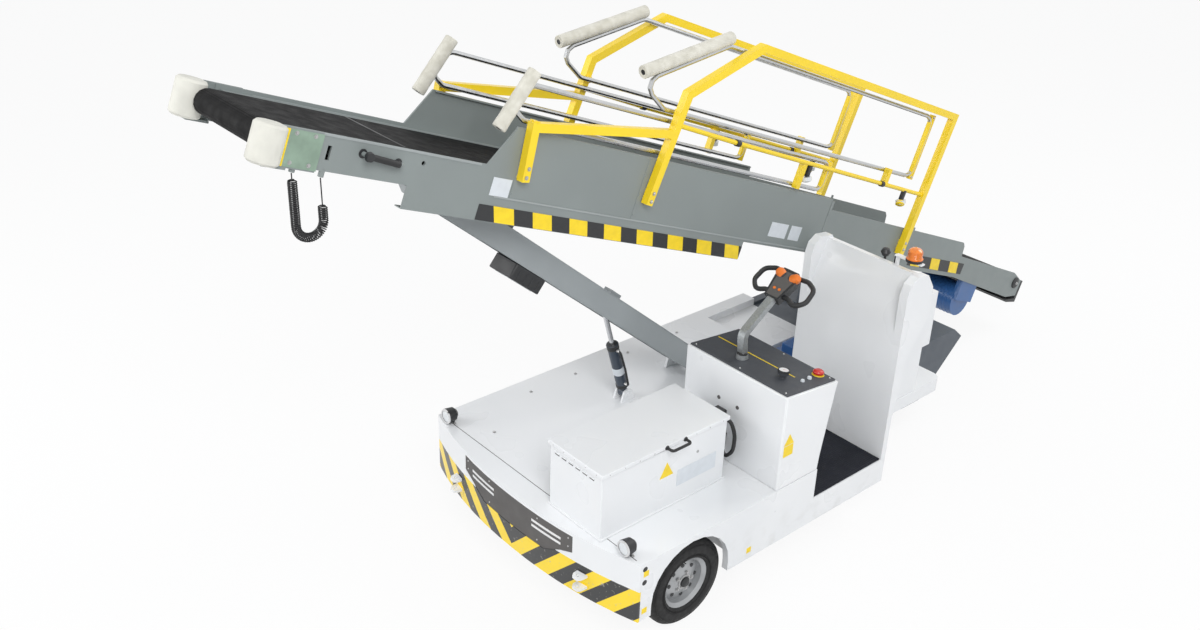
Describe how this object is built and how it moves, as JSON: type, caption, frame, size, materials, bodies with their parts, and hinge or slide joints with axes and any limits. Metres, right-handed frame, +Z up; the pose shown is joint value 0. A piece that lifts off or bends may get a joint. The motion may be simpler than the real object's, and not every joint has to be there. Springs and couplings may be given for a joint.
{
  "type": "baggage belt loader",
  "caption": "Stand-on electric baggage belt loader: low chassis, operator bay, tilting belt conveyor on a lift arm, sliding handrails.",
  "frame": {"origin": "bottom centre of the loader's box, on the ground", "axes": "+X forward, +Y to the loader's left, +Z up"},
  "size_m": [7.1752, 2, 3.3412],
  "materials": {
    "white_paint": "gloss",
    "grey_plastic": "matte",
    "lamp": "gloss",
    "console_grey": "matte",
    "black_plastic": "matte",
    "mat_rubber": "matte",
    "amber": "gloss",
    "chassis_grey": "satin",
    "battery_block": "matte",
    "tyre": "matte",
    "rim_steel": "satin",
    "panel_grey": "satin",
    "belt_rubber": "matte",
    "steel": "brushed",
    "yellow_paint": "gloss",
    "bumper_white": "matte",
    "motor_blue": "satin",
    "arm_grey": "satin",
    "cylinder_dark": "gloss",
    "chrome_rod": "polished",
    "black_rubber": "matte"
  },
  "bodies": {
    "chassis": {"chassis_body": "white_paint", "front_bumper": "white_paint", "grille": "grey_plastic", "headlight_left": "lamp", "headlight_right": "lamp", "battery_box": "white_paint", "battery_pack": "battery_block", "battery_plug": "black_plastic", "battery_cable": "black_rubber", "console": "white_paint", "console_panel": "console_grey", "operator_mat": "mat_rubber", "backrest": "white_paint", "rear_cabinet": "white_paint", "beacon": "amber", "lever": "black_plastic", "rear_frame": "chassis_grey", "hydraulic_unit": "chassis_grey", "front_axle": "chassis_grey", "rear_axle": "chassis_grey", "drive_motor": "chassis_grey"},
    "lid": {"battery_lid": "white_paint"},
    "tiller": {"tiller_arm": "steel", "tiller_head": "black_plastic"},
    "left_knuckle": {"knuckle_left": "chassis_grey"},
    "right_knuckle": {"knuckle_right": "chassis_grey"},
    "conveyor": {"side_frame_left": "panel_grey", "side_frame_right": "panel_grey", "belt": "belt_rubber", "belt_bed": "panel_grey", "front_roller": "steel", "rear_roller": "steel", "rear_guard": "black_plastic", "belt_motor": "motor_blue", "bumper_left": "bumper_white", "bumper_right": "bumper_white", "handrail_left": "yellow_paint", "handrail_right": "yellow_paint", "curly_cord": "black_rubber"},
    "arm": {"lift_arm": "arm_grey", "arm_lamp": "lamp"},
    "barrel": {"cylinder_barrel": "cylinder_dark", "cylinder_hose": "black_rubber"},
    "ram": {"cylinder_rod": "chrome_rod"},
    "wheel_front_left": {"tyre_front_left": "tyre", "rim_front_left": "rim_steel"},
    "wheel_front_right": {"tyre_front_right": "tyre", "rim_front_right": "rim_steel"},
    "wheel_rear_left": {"tyre_rear_left": "tyre", "rim_rear_left": "rim_steel"},
    "wheel_rear_right": {"tyre_rear_right": "tyre", "rim_rear_right": "rim_steel"},
    "upper_slide_left": {"upper_slide_rail_left": "steel"},
    "upper_slide_right": {"upper_slide_rail_right": "steel"},
    "lower_slide_left": {"lower_slide_rail_left": "steel"},
    "lower_slide_right": {"lower_slide_rail_right": "steel"}
  },
  "joints": [
    {"name": "steer_left", "type": "hinge", "parent": "chassis", "child": "left_knuckle", "pos_m": [1.51074, 0.7, 0.294], "axis": [0, 0, 1], "range_deg": [-30, 30]},
    {"name": "steer_right", "type": "hinge", "parent": "chassis", "child": "right_knuckle", "pos_m": [1.51074, -0.7, 0.294], "axis": [0, 0, 1], "range_deg": [-30, 30]},
    {"name": "tiller_turn", "type": "hinge", "parent": "chassis", "child": "tiller", "pos_m": [0.68474, 0.49, 1.4], "axis": [0, 0, 1], "range_deg": [-30, 30]},
    {"name": "wheel_front_left_spin", "type": "hinge", "parent": "left_knuckle", "child": "wheel_front_left", "pos_m": [1.51074, 0.865, 0.294], "axis": [0, 1, 0], "continuous": true},
    {"name": "wheel_front_right_spin", "type": "hinge", "parent": "right_knuckle", "child": "wheel_front_right", "pos_m": [1.51074, -0.865, 0.294], "axis": [0, 1, 0], "continuous": true},
    {"name": "wheel_rear_left_spin", "type": "hinge", "parent": "chassis", "child": "wheel_rear_left", "pos_m": [-0.64526, 0.46, 0.294], "axis": [0, 1, 0], "continuous": true},
    {"name": "wheel_rear_right_spin", "type": "hinge", "parent": "chassis", "child": "wheel_rear_right", "pos_m": [-0.64526, -0.46, 0.294], "axis": [0, 1, 0], "continuous": true},
    {"name": "lid_hinge", "type": "hinge", "parent": "chassis", "child": "lid", "pos_m": [1.49474, 0.211, 1.1263], "axis": [1, 0, 0], "range_deg": [0, 85]},
    {"name": "conveyor_tilt", "type": "hinge", "parent": "chassis", "child": "conveyor", "pos_m": [-1.44526, -0.4, 0.95], "axis": [0, -1, 0], "range_deg": [-17, 2]},
    {"name": "arm_tilt", "type": "hinge", "parent": "chassis", "child": "arm", "pos_m": [0.23474, -0.4, 0.8], "axis": [0, -1, 0], "range_deg": [-26.6, 3.2]},
    {"name": "barrel_tilt", "type": "hinge", "parent": "chassis", "child": "barrel", "pos_m": [0.84474, -0.4, 0.745], "axis": [0, -1, 0], "range_deg": [-37.7, 4.5]},
    {"name": "ram_slide", "type": "slide", "parent": "barrel", "child": "ram", "axis": [0.2898, 0, 0.9571], "range_m": [-0.254, 0.031]},
    {"name": "upper_rail_left_slide", "type": "slide", "parent": "conveyor", "child": "upper_slide_left", "axis": [0.9304, 0, 0.3665], "range_m": [0, 0.85]},
    {"name": "upper_rail_right_slide", "type": "slide", "parent": "conveyor", "child": "upper_slide_right", "axis": [0.9304, 0, 0.3665], "range_m": [0, 0.85]},
    {"name": "lower_rail_left_slide", "type": "slide", "parent": "conveyor", "child": "lower_slide_left", "axis": [0.9304, 0, 0.3665], "range_m": [0, 0.95]},
    {"name": "lower_rail_right_slide", "type": "slide", "parent": "conveyor", "child": "lower_slide_right", "axis": [0.9304, 0, 0.3665], "range_m": [0, 0.95]}
  ],
  "couplings": [
    {"joint": "steer_right", "follows": "steer_left", "ratio": 1},
    {"joint": "tiller_turn", "follows": "steer_left", "ratio": 1},
    {"joint": "arm_tilt", "follows": "conveyor_tilt", "ratio": 1.5615},
    {"joint": "barrel_tilt", "follows": "conveyor_tilt", "ratio": 2.214},
    {"joint": "ram_slide", "follows": "conveyor_tilt", "m_per_rad": 0.8538}
  ]
}
